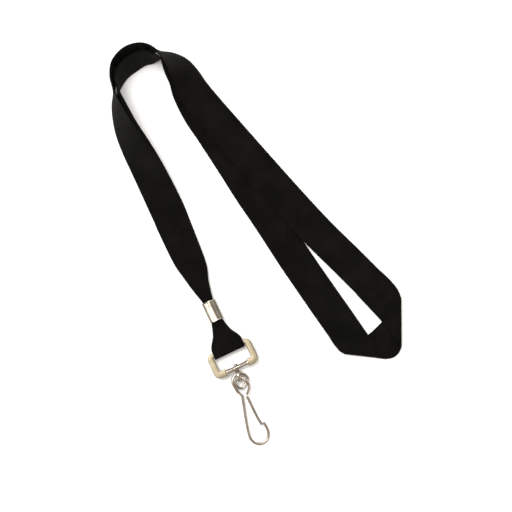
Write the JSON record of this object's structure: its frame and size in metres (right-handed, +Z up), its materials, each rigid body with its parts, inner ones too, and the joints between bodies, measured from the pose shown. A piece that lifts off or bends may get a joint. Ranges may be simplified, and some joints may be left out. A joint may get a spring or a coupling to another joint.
{
  "type": "lanyard",
  "caption": "Neck lanyard of flat woven webbing, crimped to a rectangular swivel frame that carries a spring-wire hook with a sprung gate.",
  "frame": {"origin": "centre of the bounding box at table level, with the lanyard lying flat", "axes": "+Z up from the table, +Y along the length from the hook towards the arch, +X towards the neck fold"},
  "size_m": [0.17, 0.2329, 0.0196],
  "materials": {
    "webbing": "matt black woven polyester",
    "crimp": "bright nickel plate",
    "frame": "satin champagne nickel plate",
    "wire": "bright nickel-plated spring wire"
  },
  "bodies": {
    "strap": {"webbing_front_leg": "webbing", "webbing_front_arch": "webbing", "webbing_front_run": "webbing", "webbing_back_leg": "webbing", "webbing_back_arch": "webbing", "webbing_back_run": "webbing", "webbing_neck_fold": "webbing", "webbing_hook_loop": "webbing", "crimp_sleeve": "crimp"},
    "frame": {"swivel_frame": "frame"},
    "swivel": {"swivel_eye": "wire"},
    "hook": {"hook_wire": "wire"},
    "gate": {"gate_wire": "wire"}
  },
  "joints": [
    {"name": "frame_swing", "type": "hinge", "parent": "strap", "child": "frame", "pos_m": [-0.01565, -0.06096, 0.00345], "axis": [0.9063, 0.4226, 0], "range_deg": [-85, 85]},
    {"name": "swivel_spin", "type": "hinge", "parent": "frame", "child": "swivel", "pos_m": [-0.01097, -0.07195, 0.00345], "axis": [0.284, -0.9588, 0], "continuous": true},
    {"name": "hook_swing", "type": "hinge", "parent": "swivel", "child": "hook", "pos_m": [-0.00959, -0.07661, 0.00345], "axis": [0.9588, 0.284, 0], "range_deg": [-75, 75]},
    {"name": "gate_flex", "type": "hinge", "parent": "hook", "child": "gate", "pos_m": [-0.00507, -0.088, 0.00268], "axis": [-0.0178, 0.0602, -0.998], "range_deg": [0, 12], "stiffness_Nm_per_rad": 0.02, "springref_deg": -2.86}
  ]
}
